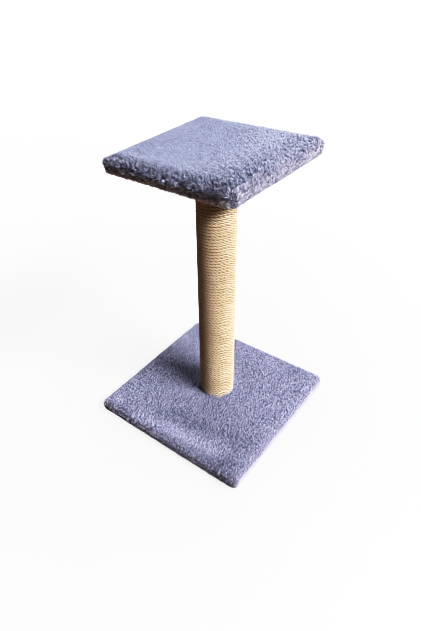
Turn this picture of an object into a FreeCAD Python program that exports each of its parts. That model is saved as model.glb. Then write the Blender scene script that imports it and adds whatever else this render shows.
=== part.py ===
import FreeCAD, Part
import math
import os
from FreeCAD import Placement, Rotation, Vector

# Cat scratching post: a plush-covered square base, a sisal-wound post and a
# smaller plush-covered square platform on top of it.
#
# Frame: millimetres, +Z up, origin at the centre of the base's underside.
# X and Y run along the base's sides; the corner nearest the eye in the
# photograph is the one at +X, -Y.

doc = FreeCAD.newDocument("scratching_post")

# ---------------------------------------------------------------- dimensions
SIZES = [
    ("base_side", 350, "base across the pile, both ways"),
    ("base_corner", 12, "base corner radius in plan, at the pile"),
    ("base_edge", 6, "rounding of the base's upper pile edge"),
    ("base_low_edge", 1.2, "rounding of the base's lower edge"),
    ("base_board_side", 340, "base board across"),
    ("base_board_corner", 8, "base board corner radius in plan"),
    ("board_thick", 16, "both boards, particle board"),
    ("hem_thick", 1.8, "turned-under plush, pressed flat"),
    ("hem_width", 35, "hem from the pile's outline inwards"),
    ("base_pile", 5.2, "base plush over the board, backing and pile"),
    ("crushed", 1.5, "plush squeezed under the post"),
    ("post_x", 0.7, "post axis, X"),
    ("post_y", 14.7, "post axis, Y"),
    ("tube_od", 60, "cardboard tube outside"),
    ("tube_bore", 52, "cardboard tube inside"),
    ("tube_long", 510, "cardboard tube length"),
    ("rope_dia", 6, "sisal rope"),
    ("rope_valley", 1.7, "depth of the groove between two turns"),
    ("plug_long", 28, "wooden end plugs"),
    ("bolt_dia", 7.9, "M8 thread, over its flanks"),
    ("bolt_long", 40, "M8 bolt under its head"),
    ("bolt_af", 13, "M8 hexagon across flats"),
    ("bolt_head", 5.3, "M8 hexagon height"),
    ("hole_dia", 9, "clearance hole for M8"),
    ("sink_dia", 27, "counterbore for head and washer"),
    ("sink_deep", 8.5, "counterbore depth"),
    ("washer_od", 24, "M8 wide washer outside"),
    ("washer_bore", 8.4, "M8 wide washer inside"),
    ("washer_thick", 2, "M8 wide washer"),
    ("tee_flange", 22, "tee nut flange"),
    ("tee_flange_thick", 1.5, "tee nut flange"),
    ("tee_barrel", 10, "tee nut barrel outside"),
    ("tee_barrel_long", 11, "tee nut barrel below its flange"),
    ("tee_bore", 8, "tee nut thread"),
    ("tee_prong", 6, "tee nut prong length"),
    ("nail_dia", 2, "plug nail shank"),
    ("nail_head", 4, "plug nail head"),
    ("nail_long", 20, "plug nail with its head"),
    ("staple_crown", 10, "staple crown width"),
    ("staple_leg", 9, "staple leg length with crown"),
    ("staple_wide", 1.2, "staple wire width"),
    ("staple_thick", 0.6, "staple wire thickness"),
    ("top_side", 255, "platform across the pile, both ways"),
    ("top_corner", 12, "platform corner radius in plan, at the pile"),
    ("top_edge", 8.5, "rounding of the platform's upper pile edge"),
    ("top_low_edge", 1.4, "rounding of the platform's lower edge"),
    ("top_board_side", 243, "platform board across"),
    ("top_board_corner", 7, "platform board corner radius in plan"),
    ("top_pad", 4, "foam sheet over the platform board"),
    ("top_pile", 6, "platform plush over the foam, backing and pile"),
    ("top_dx", 3.68, "platform centre from the post axis, its own X"),
    ("top_dy", -12.6, "platform centre from the post axis, its own Y"),
    ("top_yaw", -1.7, "platform turned about the post, degrees"),
]
sheet = doc.addObject("Spreadsheet::Sheet", "Sizes")
for row, (alias, value, note) in enumerate(SIZES, 1):
    sheet.set("A%d" % row, note)
    sheet.set("B%d" % row, str(value))
    sheet.setAlias("B%d" % row, alias)
doc.recompute()


def mm(alias):
    return float(sheet.get(alias))


# ------------------------------------------------------------------- helpers
def plane(body, role):
    for feature in body.Origin.OriginFeatures:
        if feature.Role == role:
            return feature
    raise ValueError(role)


def new_body(name):
    body = doc.addObject("PartDesign::Body", name)
    body.Label = name
    return body


def new_sketch(body, name, lift=None):
    sk = body.newObject("Sketcher::SketchObject", name)
    sk.AttachmentSupport = [(plane(body, "XY_Plane"), "")]
    sk.MapMode = "FlatFace"
    if lift:
        sk.setExpression("AttachmentOffset.Base.z", lift)
    return sk


def circle(sk, diameter):
    import Sketcher

    i = sk.addGeometry(Part.Circle(Vector(0, 0, 0), Vector(0, 0, 1), 5), False)
    sk.addConstraint(Sketcher.Constraint("Coincident", i, 3, -1, 1))
    c = sk.addConstraint(Sketcher.Constraint("Diameter", i, 10))
    sk.setExpression("Constraints[%d]" % c, diameter)
    return i


def rounded_square(sk, side, radius, right, back):
    """A square with rounded corners. right and back place its +X and +Y sides from the sketch origin."""
    import Sketcher

    w, r = 100.0, 10.0
    p = w / 2
    z = Vector(0, 0, 1)
    pts = [
        (-p + r, -p, p - r, -p),
        (p, -p + r, p, p - r),
        (p - r, p, -p + r, p),
        (-p, p - r, -p, -p + r),
    ]
    geo = [Part.LineSegment(Vector(a, b, 0), Vector(c, d, 0)) for a, b, c, d in pts]
    for (cx, cy), a in zip([(p - r, -p + r), (p - r, p - r), (-p + r, p - r), (-p + r, -p + r)], (-90, 0, 90, 180)):
        geo.append(Part.ArcOfCircle(Part.Circle(Vector(cx, cy, 0), z, r), math.radians(a), math.radians(a + 90)))
    n = sk.addGeometry(geo, False)[0]
    con = []
    for k in range(4):
        con.append(Sketcher.Constraint("Tangent", n + k, 2, n + 4 + k, 1))
        con.append(Sketcher.Constraint("Tangent", n + 4 + k, 2, n + (k + 1) % 4, 1))
    con += [
        Sketcher.Constraint("Horizontal", n),
        Sketcher.Constraint("Vertical", n + 1),
        Sketcher.Constraint("Horizontal", n + 2),
        Sketcher.Constraint("Vertical", n + 3),
        Sketcher.Constraint("Equal", n + 4, n + 5),
        Sketcher.Constraint("Equal", n + 4, n + 6),
        Sketcher.Constraint("Equal", n + 4, n + 7),
    ]
    sk.addConstraint(con)
    for kind, args, value, expr in (
        ("Radius", (n + 4,), r, radius),
        ("DistanceX", (n + 3, 1, n + 1, 1), w, side),
        ("DistanceY", (n, 1, n + 2, 1), w, side),
        ("DistanceX", (-1, 1, n + 1, 1), p, right),
        ("DistanceY", (-1, 1, n + 2, 1), p, back),
    ):
        c = sk.addConstraint(Sketcher.Constraint(kind, *args, value))
        sk.setExpression("Constraints[%d]" % c, expr)


def pad(body, name, sk, length):
    f = body.newObject("PartDesign::Pad", name)
    f.Profile = sk
    f.setExpression("Length", length)
    doc.recompute()
    return f


def pocket(body, name, sk, length):
    """Cuts upwards, along the sketch's normal, and makes sure that something was cut."""
    before = body.Shape.Volume
    f = body.newObject("PartDesign::Pocket", name)
    f.Profile = sk
    f.Reversed = True
    f.setExpression("Length", length)
    doc.recompute()
    if body.Shape.Volume > before - 1.0:
        raise RuntimeError(name + " cuts nothing")
    return f


def round_edges(body, name, base, pick, radius):
    edges = ["Edge%d" % (i + 1) for i, e in enumerate(base.Shape.Edges) if pick(e)]
    f = body.newObject("PartDesign::Fillet", name)
    f.Base = (base, edges)
    f.setExpression("Radius", radius)
    doc.recompute()
    return f


def at_height(z):
    return lambda e: all(abs(v.Z - z) < 1e-4 for v in e.Vertexes) and e.BoundBox.ZLength < 1e-4


def place(obj, z, yaw=False):
    """Stands an object's own origin on the post axis at height z, turned with the platform if asked."""
    obj.Placement = Placement(Vector(0, 0, 0), Rotation(Vector(0, 0, 1), mm("top_yaw") if yaw else 0))
    obj.setExpression(".Placement.Base.x", "Sizes.post_x")
    obj.setExpression(".Placement.Base.y", "Sizes.post_y")
    obj.setExpression(".Placement.Base.z", z)


def cylinder(name, diameter, height, z=None):
    c = doc.addObject("Part::Cylinder", name)
    c.setExpression("Radius", "(%s) / 2" % diameter)
    c.setExpression("Height", height)
    if z:
        c.setExpression(".Placement.Base.z", z)
    return c


def fuse(name, *shapes):
    f = doc.addObject("Part::MultiFuse", name)
    f.Shapes = list(shapes)
    return f


def cut(name, base, tool):
    c = doc.addObject("Part::Cut", name)
    c.Base = base
    c.Tool = tool
    c.Label = name
    return c


def group(name, solids, z=None, yaw=False):
    """Several separate solids of one kind, held in one object."""
    g = doc.addObject("Part::Feature", name)
    g.Label = name
    g.Shape = Part.makeCompound(solids)
    if z is not None:
        place(g, z, yaw)
    doc.recompute()
    return g


# Heights of the stack, from the floor up.
Z_BOARD = "Sizes.hem_thick"
Z_BOARD_TOP = "(Sizes.hem_thick + Sizes.board_thick)"
Z_POST = "(Sizes.hem_thick + Sizes.board_thick + Sizes.crushed)"
Z_POST_TOP = "(Sizes.hem_thick + Sizes.board_thick + Sizes.crushed + Sizes.tube_long)"
z_board = mm("hem_thick")
z_board_top = z_board + mm("board_thick")
z_post = z_board_top + mm("crushed")
z_post_top = z_post + mm("tube_long")

parts = []


def done(obj):
    parts.append(obj)
    return obj


# ------------------------------------------------------------------- staples
def staple():
    """One wire staple: crown on the XY plane at its underside, legs up."""
    w, t, c, leg = mm("staple_wide"), mm("staple_thick"), mm("staple_crown"), mm("staple_leg")
    crown = Part.makeBox(c, w, t, Vector(-c / 2, -w / 2, 0))
    legs = [Part.makeBox(t, w, leg, Vector(x, -w / 2, 0)) for x in (-c / 2, c / 2 - t)]
    return crown.fuse(legs).removeSplitter()


def ring_of_staples(per_side, half, inset, cx, cy):
    """Staples along the four sides of a square hem, crowns along the edge."""
    out = []
    one = staple()
    reach = half - inset
    for side in range(4):
        for k in range(per_side):
            along = (k - (per_side - 1) / 2) * (2 * reach - 24) / (per_side - 1)
            s = one.copy()
            s.Placement = Placement(Vector(cx, cy, 0), Rotation(Vector(0, 0, 1), 90 * side)).multiply(
                Placement(Vector(along, -reach, 0), Rotation())
            )
            out.append(s)
    return out


base_cover_staples = done(
    group(
        "base_cover_staples",
        ring_of_staples(7, mm("base_side") / 2, 26, -mm("post_x"), -mm("post_y")),
        "0",
    )
)
top_cover_staples = done(
    group(
        "top_cover_staples",
        ring_of_staples(5, mm("top_side") / 2, 26, mm("top_dx"), mm("top_dy")),
        Z_POST_TOP + " - Sizes.hem_thick",
        yaw=True,
    )
)

# Rope ends: two staples across the first turn and two across the last one.
rope_r = mm("tube_od") / 2 + mm("rope_dia")
end_staples = []
for height, bearing in ((3.0, -38), (3.0, -58), (mm("tube_long") - 3.0, 128), (mm("tube_long") - 3.0, 148)):
    s = staple()
    # crown upright on the rope, legs pointing at the post axis
    s.Placement = (
        Placement(Vector(0, 0, height), Rotation(Vector(0, 0, 1), bearing))
        .multiply(Placement(Vector(rope_r - 0.4, 0, 0), Rotation(Vector(0, 1, 0), -90)))
        .multiply(Placement(Vector(0, 0, 0), Rotation(Vector(0, 0, 1), 90)))
    )
    end_staples.append(s)
rope_end_staples = done(group("rope_end_staples", end_staples, Z_POST))


# --------------------------------------------------------------------- nails
def plug_nails(start):
    """Four wire nails through the tube's wall into a plug, heads flush with the tube."""
    out = []
    head, shank, total, thick = mm("nail_head"), mm("nail_dia"), mm("nail_long"), 0.8
    for k in range(4):
        n = Part.makeCylinder(head / 2, thick, Vector(0, 0, 0), Vector(-1, 0, 0))
        n = n.fuse(Part.makeCylinder(shank / 2, total - 3, Vector(0, 0, 0), Vector(-1, 0, 0)))
        n = n.fuse(Part.makeCone(shank / 2, 0.15, 3, Vector(-(total - 3), 0, 0), Vector(-1, 0, 0))).removeSplitter()
        n.Placement = Placement(Vector(0, 0, 0), Rotation(Vector(0, 0, 1), start + 90 * k)).multiply(
            Placement(Vector(mm("tube_od") / 2 - 0.1, 0, 0), Rotation())
        )
        out.append(n)
    return out


lower_plug_nails = done(group("lower_plug_nails", plug_nails(20), Z_POST + " + Sizes.plug_long * 0.3"))
upper_plug_nails = done(group("upper_plug_nails", plug_nails(65), Z_POST_TOP + " - Sizes.plug_long * 0.3"))

# ---------------------------------------------------------------- base board
b = new_body("base_board_blank")
sk = new_sketch(b, "base_board_plan")
rounded_square(
    sk,
    "Sizes.base_board_side",
    "Sizes.base_board_corner",
    "Sizes.base_board_side / 2 - Sizes.post_x",
    "Sizes.base_board_side / 2 - Sizes.post_y",
)
pad(b, "base_board_pad", sk, "Sizes.board_thick")
sk = new_sketch(b, "base_bolt_hole_plan")
circle(sk, "Sizes.hole_dia")
pocket(b, "base_bolt_hole", sk, "Sizes.board_thick")
sk = new_sketch(b, "base_sink_plan")
circle(sk, "Sizes.sink_dia")
pocket(b, "base_sink", sk, "Sizes.sink_deep")
place(b, Z_BOARD)
base_board = done(cut("base_board", b, base_cover_staples))

# ----------------------------------------------------------- base plush cover
# One cloth: over the top, down the sides and turned under as a flat hem. Its
# pile is squeezed to almost nothing under the post.
b = new_body("base_plush_blank")
right, back = "Sizes.%s / 2 - Sizes.post_x", "Sizes.%s / 2 - Sizes.post_y"
sk = new_sketch(b, "base_plush_plan")
rounded_square(sk, "Sizes.base_side", "Sizes.base_corner", right % "base_side", back % "base_side")
f = pad(b, "base_plush_pad", sk, Z_BOARD_TOP + " + Sizes.base_pile")
high = z_board_top + mm("base_pile")
f = round_edges(b, "base_plush_edge", f, at_height(high), "Sizes.base_edge")
f = round_edges(b, "base_plush_low_edge", f, at_height(0), "Sizes.base_low_edge")
sk = new_sketch(b, "base_hem_plan")
rounded_square(
    sk,
    "Sizes.base_side - 2 * Sizes.hem_width",
    "6",
    "(Sizes.base_side - 2 * Sizes.hem_width) / 2 - Sizes.post_x",
    "(Sizes.base_side - 2 * Sizes.hem_width) / 2 - Sizes.post_y",
)
pocket(b, "base_hem_opening", sk, "Sizes.hem_thick + 2")
sk = new_sketch(b, "base_cavity_plan", "Sizes.hem_thick")
rounded_square(
    sk,
    "Sizes.base_board_side",
    "Sizes.base_board_corner",
    right % "base_board_side",
    back % "base_board_side",
)
pocket(b, "base_cavity", sk, "Sizes.board_thick")
sk = new_sketch(b, "base_seat_plan", Z_POST)
circle(sk, "Sizes.tube_od + 2 * Sizes.rope_dia + 0.6")
pocket(b, "base_seat", sk, "20")
sk = new_sketch(b, "base_plush_hole_plan")
circle(sk, "Sizes.hole_dia")
pocket(b, "base_plush_hole", sk, "40")
place(b, "0")
base_plush_cover = done(cut("base_plush_cover", b, base_cover_staples))

# ----------------------------------------------------------------- tee nuts
def tee_nut(name):
    """Tee nut with its flange's outer face on the XY plane, barrel and prongs up."""
    flange = cylinder(name + "_flange", "Sizes.tee_flange", "Sizes.tee_flange_thick")
    barrel = cylinder(name + "_barrel", "Sizes.tee_barrel", "Sizes.tee_flange_thick + Sizes.tee_barrel_long")
    prongs = []
    for k in range(4):
        p = doc.addObject("Part::Box", "%s_prong%d" % (name, k))
        p.Length, p.Width = 1.2, 2.6
        p.setExpression("Height", "Sizes.tee_flange_thick + Sizes.tee_prong")
        turn = Rotation(Vector(0, 0, 1), 45 + 90 * k)
        p.Placement = Placement(turn.multVec(Vector(8.6, -1.3, 0)), turn)
        prongs.append(p)
    return cut(
        name + "_body",
        fuse(name + "_solid", flange, barrel, *prongs),
        cylinder(name + "_thread", "Sizes.tee_bore", "40"),
    )


lower_tee = tee_nut("lower_tee")
upper_tee = tee_nut("upper_tee")


# A tee nut's flange lies on the plug's inner face, its barrel in the plug.
lower_tee.Label = "lower_tee_nut"
lower_tee.Placement = Placement(Vector(0, 0, 0), Rotation(Vector(1, 0, 0), 180))
for axis, expr in (("x", "Sizes.post_x"), ("y", "Sizes.post_y"), ("z", Z_POST + " + Sizes.plug_long + Sizes.tee_flange_thick")):
    lower_tee.setExpression(".Placement.Base." + axis, expr)
upper_tee.Label = "upper_tee_nut"
for axis, expr in (("x", "Sizes.post_x"), ("y", "Sizes.post_y"), ("z", Z_POST_TOP + " - Sizes.plug_long - Sizes.tee_flange_thick")):
    upper_tee.setExpression(".Placement.Base." + axis, expr)
done(lower_tee)
done(upper_tee)

# -------------------------------------------------------------------- plugs
def plug(name, z, nails, tee):
    b = new_body(name + "_blank")
    sk = new_sketch(b, name + "_plan")
    circle(sk, "Sizes.tube_bore")
    pad(b, name + "_pad", sk, "Sizes.plug_long")
    sk = new_sketch(b, name + "_hole_plan")
    circle(sk, "Sizes.hole_dia")
    pocket(b, name + "_hole", sk, "Sizes.plug_long")
    place(b, z)
    return done(cut(name, cut(name + "_nailed", b, nails), tee))


plug("lower_plug", Z_POST, lower_plug_nails, lower_tee)
plug("upper_plug", Z_POST_TOP + " - Sizes.plug_long", upper_plug_nails, upper_tee)

# ---------------------------------------------------------------- post tube
b = new_body("post_tube_blank")
sk = new_sketch(b, "post_tube_plan")
circle(sk, "Sizes.tube_od")
circle(sk, "Sizes.tube_bore")
pad(b, "post_tube_pad", sk, "Sizes.tube_long")
place(b, Z_POST)
done(cut("post_tube", b, fuse("post_tube_holes", lower_plug_nails, upper_plug_nails, rope_end_staples)))

# --------------------------------------------------------------- sisal rope
# The winding, turn against turn from end to end of the tube. Each turn is a
# ring with a crowned outside; one revolved profile holds them all.
pitch, length = mm("rope_dia"), mm("tube_long")
turns = int(round(length / pitch))
pitch = length / turns
r_in, r_out = mm("tube_od") / 2, rope_r
r_low = r_out - mm("rope_valley")
edges = [
    Part.LineSegment(Vector(r_in, 0, 0), Vector(r_low, 0, 0)).toShape(),
]
r_flat = r_out - 0.5
for k in range(turns):
    z0 = k * pitch
    if k in (0, turns - 1):
        # the first and last turn are pressed flat by their staples
        run = [(r_low, z0), (r_flat, z0 + 1.2), (r_flat, z0 + pitch - 1.2), (r_low, z0 + pitch)]
        for (ra, za), (rb, zb) in zip(run, run[1:]):
            edges.append(Part.LineSegment(Vector(ra, 0, za), Vector(rb, 0, zb)).toShape())
        continue
    edges.append(
        Part.Arc(Vector(r_low, 0, z0), Vector(r_out, 0, z0 + pitch / 2), Vector(r_low, 0, z0 + pitch)).toShape()
    )
edges.append(Part.LineSegment(Vector(r_low, 0, length), Vector(r_in, 0, length)).toShape())
edges.append(Part.LineSegment(Vector(r_in, 0, length), Vector(r_in, 0, 0)).toShape())
face = Part.Face(Part.Wire(edges))
winding = doc.addObject("Part::Feature", "sisal_winding")
winding.Shape = face.revolve(Vector(0, 0, 0), Vector(0, 0, 1), 360)
place(winding, Z_POST)
doc.recompute()
done(cut("sisal_rope", winding, rope_end_staples))

# ---------------------------------------------------------------- top board
t_right = "Sizes.%s / 2 + Sizes.top_dx"
t_back = "Sizes.%s / 2 + Sizes.top_dy"
b = new_body("top_board_blank")
sk = new_sketch(b, "top_board_plan")
rounded_square(sk, "Sizes.top_board_side", "Sizes.top_board_corner", t_right % "top_board_side", t_back % "top_board_side")
pad(b, "top_board_pad", sk, "Sizes.board_thick")
sk = new_sketch(b, "top_bolt_hole_plan")
circle(sk, "Sizes.hole_dia")
pocket(b, "top_bolt_hole", sk, "Sizes.board_thick")
sk = new_sketch(b, "top_sink_plan", "Sizes.board_thick - Sizes.sink_deep")
circle(sk, "Sizes.sink_dia")
pocket(b, "top_sink", sk, "Sizes.sink_deep")
place(b, Z_POST_TOP, yaw=True)
top_board = done(cut("top_board", b, top_cover_staples))

# -------------------------------------------------------------- top padding
b = new_body("top_padding")
sk = new_sketch(b, "top_padding_plan")
rounded_square(sk, "Sizes.top_board_side", "Sizes.top_board_corner", t_right % "top_board_side", t_back % "top_board_side")
pad(b, "top_padding_pad", sk, "Sizes.top_pad")
place(b, Z_POST_TOP + " + Sizes.board_thick", yaw=True)
done(b)

# ---------------------------------------------------------- top plush cover
b = new_body("top_plush_blank")
sk = new_sketch(b, "top_plush_plan")
rounded_square(sk, "Sizes.top_side", "Sizes.top_corner", t_right % "top_side", t_back % "top_side")
f = pad(b, "top_plush_pad", sk, "Sizes.hem_thick + Sizes.board_thick + Sizes.top_pad + Sizes.top_pile")
high = mm("hem_thick") + mm("board_thick") + mm("top_pad") + mm("top_pile")
f = round_edges(b, "top_plush_edge", f, at_height(high), "Sizes.top_edge")
f = round_edges(b, "top_plush_low_edge", f, at_height(0), "Sizes.top_low_edge")
sk = new_sketch(b, "top_hem_plan")
rounded_square(
    sk,
    "Sizes.top_side - 2 * Sizes.hem_width",
    "6",
    "(Sizes.top_side - 2 * Sizes.hem_width) / 2 + Sizes.top_dx",
    "(Sizes.top_side - 2 * Sizes.hem_width) / 2 + Sizes.top_dy",
)
pocket(b, "top_hem_opening", sk, "Sizes.hem_thick + 2")
sk = new_sketch(b, "top_cavity_plan", "Sizes.hem_thick")
rounded_square(sk, "Sizes.top_board_side", "Sizes.top_board_corner", t_right % "top_board_side", t_back % "top_board_side")
pocket(b, "top_cavity", sk, "Sizes.board_thick + Sizes.top_pad")
place(b, Z_POST_TOP + " - Sizes.hem_thick", yaw=True)
done(cut("top_plush_cover", b, top_cover_staples))


# ------------------------------------------------------- bolts and washers
def bolt(name, z, down):
    """M8 hexagon bolt. Its head's bearing face is at z; the shank points up, or down if asked."""
    head = doc.addObject("Part::Prism", name + "_head")
    head.Polygon = 6
    head.setExpression("Circumradius", "Sizes.bolt_af / sqrt(3)")
    head.setExpression("Height", "Sizes.bolt_head")
    head.setExpression(".Placement.Base.z", "-Sizes.bolt_head")
    shank = cylinder(name + "_shank", "Sizes.bolt_dia", "Sizes.bolt_long - 1.2")
    tip = doc.addObject("Part::Cone", name + "_tip")
    tip.setExpression("Radius1", "Sizes.bolt_dia / 2")
    tip.setExpression("Radius2", "Sizes.bolt_dia / 2 - 1.2")
    tip.Height = 1.2
    tip.setExpression(".Placement.Base.z", "Sizes.bolt_long - 1.2")
    f = fuse(name, head, shank, tip)
    f.Label = name
    if down:
        f.Placement = Placement(Vector(0, 0, 0), Rotation(Vector(1, 0, 0), 180))
    for axis, expr in (("x", "Sizes.post_x"), ("y", "Sizes.post_y"), ("z", z)):
        f.setExpression(".Placement.Base." + axis, expr)
    return done(f)


def washer(name, z):
    w = cut(
        name,
        cylinder(name + "_disc", "Sizes.washer_od", "Sizes.washer_thick"),
        cylinder(name + "_bore", "Sizes.washer_bore", "Sizes.washer_thick"),
    )
    place(w, z)
    return done(w)


bolt("base_bolt", Z_BOARD + " + Sizes.sink_deep - Sizes.washer_thick", False)
washer("base_washer", Z_BOARD + " + Sizes.sink_deep - Sizes.washer_thick")
bolt("top_bolt", Z_POST_TOP + " + Sizes.board_thick - Sizes.sink_deep + Sizes.washer_thick", True)
washer("top_washer", Z_POST_TOP + " + Sizes.board_thick - Sizes.sink_deep")

# ------------------------------------------------------- checks and writing
doc.recompute()
for obj in doc.Objects:
    if "Invalid" in obj.State or "Error" in obj.State:
        raise RuntimeError("%s failed: %s" % (obj.Label, obj.State))
for obj in parts:
    shape = obj.Shape
    if shape.isNull() or not shape.isValid() or not shape.Solids:
        raise RuntimeError(obj.Label + " has no valid solid")

os.makedirs("parts", exist_ok=True)
whole = None
for obj in sorted(parts, key=lambda o: o.Label):
    obj.Shape.exportStep("parts/%s.step" % obj.Label)
    box = obj.Shape.BoundBox
    print(
        "%-20s solids %3d  volume %10.1f  x %7.2f %7.2f  y %7.2f %7.2f  z %7.2f %7.2f"
        % (obj.Label, len(obj.Shape.Solids), obj.Shape.Volume, box.XMin, box.XMax, box.YMin, box.YMax, box.ZMin, box.ZMax)
    )
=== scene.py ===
import math

import bpy
import numpy as np
from mathutils import Matrix, Vector


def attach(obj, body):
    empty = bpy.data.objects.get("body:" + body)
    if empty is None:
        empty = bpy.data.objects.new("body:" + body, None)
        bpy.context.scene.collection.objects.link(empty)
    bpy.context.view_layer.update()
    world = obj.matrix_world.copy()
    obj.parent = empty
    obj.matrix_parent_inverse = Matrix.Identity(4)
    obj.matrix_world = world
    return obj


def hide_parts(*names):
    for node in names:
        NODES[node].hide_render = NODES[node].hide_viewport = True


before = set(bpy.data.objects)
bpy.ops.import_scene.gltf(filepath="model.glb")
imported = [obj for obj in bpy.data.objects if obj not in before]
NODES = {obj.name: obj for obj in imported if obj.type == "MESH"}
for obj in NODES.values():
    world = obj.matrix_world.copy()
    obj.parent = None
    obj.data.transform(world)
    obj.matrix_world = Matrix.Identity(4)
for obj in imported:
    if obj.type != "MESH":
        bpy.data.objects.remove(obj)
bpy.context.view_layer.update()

MM = 0.001

# ------------------------------------------------------------- sizes, in mm
# The same construction as the CAD part: origin at the middle of the base's
# underside, Z up, the corner nearest the camera at +X, -Y.
HEM = 1.8
BOARD = 16.0
CRUSHED = 1.5
TUBE = 510.0
Z_BOARD_TOP = HEM + BOARD
Z_POST = Z_BOARD_TOP + CRUSHED
Z_POST_TOP = Z_POST + TUBE
POST = np.array([0.7, 14.7])
ROPE_D = 6.0
ROPE_R = 30.0 + ROPE_D / 2
POST_R = 30.0 + ROPE_D
YAW = math.radians(-1.7)
TOP_LOCAL = np.array([3.68, -12.6])
TOP_C = POST + np.array(
    [
        math.cos(YAW) * TOP_LOCAL[0] - math.sin(YAW) * TOP_LOCAL[1],
        math.sin(YAW) * TOP_LOCAL[0] + math.cos(YAW) * TOP_LOCAL[1],
    ]
)


# ------------------------------------------------------------------- camera
def set_camera():
    az, el, roll = 0.7485090613, 0.6724231341, -0.0838009985
    back = np.array([math.sin(az) * math.cos(el), -math.cos(az) * math.cos(el), math.sin(el)])
    right = np.array([math.cos(az), math.sin(az), 0.0])
    up = np.cross(back, right)
    c, s = math.cos(roll), math.sin(roll)
    r2, u2 = c * right + s * up, -s * right + c * up
    k = 0.875
    eye = k * (np.array([0, 0, 300.0]) - 101.889 * r2 - 60.774 * u2 + 1093.182 * back) * MM
    cam = bpy.data.cameras.new("camera")
    cam.sensor_width = 36.0
    cam.sensor_fit = "AUTO"
    cam.lens = 501.876 * 36.0 / 631.0
    cam.shift_x = (210.5 - 165.314) / 631.0
    cam.shift_y = (327.971 - 315.5) / 631.0
    cam.clip_start, cam.clip_end = 0.01, 100.0
    ob = bpy.data.objects.new("camera", cam)
    m = Matrix.Identity(4)
    for i in range(3):
        m[i][0], m[i][1], m[i][2], m[i][3] = r2[i], u2[i], back[i], eye[i]
    ob.matrix_world = m
    bpy.context.scene.collection.objects.link(ob)
    bpy.context.scene.camera = ob


set_camera()


# --------------------------------------------------------------- small tools
def table_of(seed, n=256):
    return np.random.default_rng(seed).random((n, n))


def hash2(i, j, seed):
    """A fixed random number from 0 to 1 for each whole-number pair."""
    t = table_of(seed)
    return t[np.mod(i, 256), np.mod(j, 256)]


def noise2(x, y, scale, seed):
    """Smooth value noise from -1 to 1."""
    t = table_of(seed)
    u, v = np.asarray(x) / scale + 37.0, np.asarray(y) / scale + 11.0
    i, j = np.floor(u).astype(int), np.floor(v).astype(int)
    a, b = u - i, v - j
    a, b = a * a * a * (a * (a * 6 - 15) + 10), b * b * b * (b * (b * 6 - 15) + 10)
    g = lambda p, q: t[np.mod(p, 256), np.mod(q, 256)]
    low = g(i, j) * (1 - a) + g(i + 1, j) * a
    high = g(i, j + 1) * (1 - a) + g(i + 1, j + 1) * a
    return 2 * (low * (1 - b) + high * b) - 1


def smooth(lo, hi, x):
    t = np.clip((np.asarray(x, float) - lo) / (hi - lo), 0, 1)
    return t * t * (3 - 2 * t)


def unit(v):
    return v / np.maximum(np.linalg.norm(v, axis=-1, keepdims=True), 1e-12)


def mesh_object(name, verts, faces, material, shade=True):
    """verts in mm; faces is an (n, 3) or (n, 4) array of vertex numbers."""
    me = bpy.data.meshes.new(name)
    faces = np.asarray(faces, np.int32)
    n, k = faces.shape
    me.vertices.add(len(verts))
    me.vertices.foreach_set("co", (np.asarray(verts, np.float64) * MM).astype(np.float32).ravel())
    me.loops.add(n * k)
    me.loops.foreach_set("vertex_index", faces.ravel())
    me.polygons.add(n)
    me.polygons.foreach_set("loop_start", np.arange(0, n * k, k, dtype=np.int32))
    me.update(calc_edges=True)
    me.validate()
    if shade:
        me.polygons.foreach_set("use_smooth", np.ones(len(me.polygons), bool))
    me.materials.append(material)
    ob = bpy.data.objects.new(name, me)
    bpy.context.scene.collection.objects.link(ob)
    return ob


def vector_attribute(ob, name, values):
    a = ob.data.attributes.new(name, "FLOAT_VECTOR", "POINT")
    a.data.foreach_set("vector", np.asarray(values, np.float32).ravel())


def uv_map(ob, name, uv):
    layer = ob.data.uv_layers.new(name=name, do_init=False)
    layer.data.foreach_set("uv", np.asarray(uv, np.float32).ravel())


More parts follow.
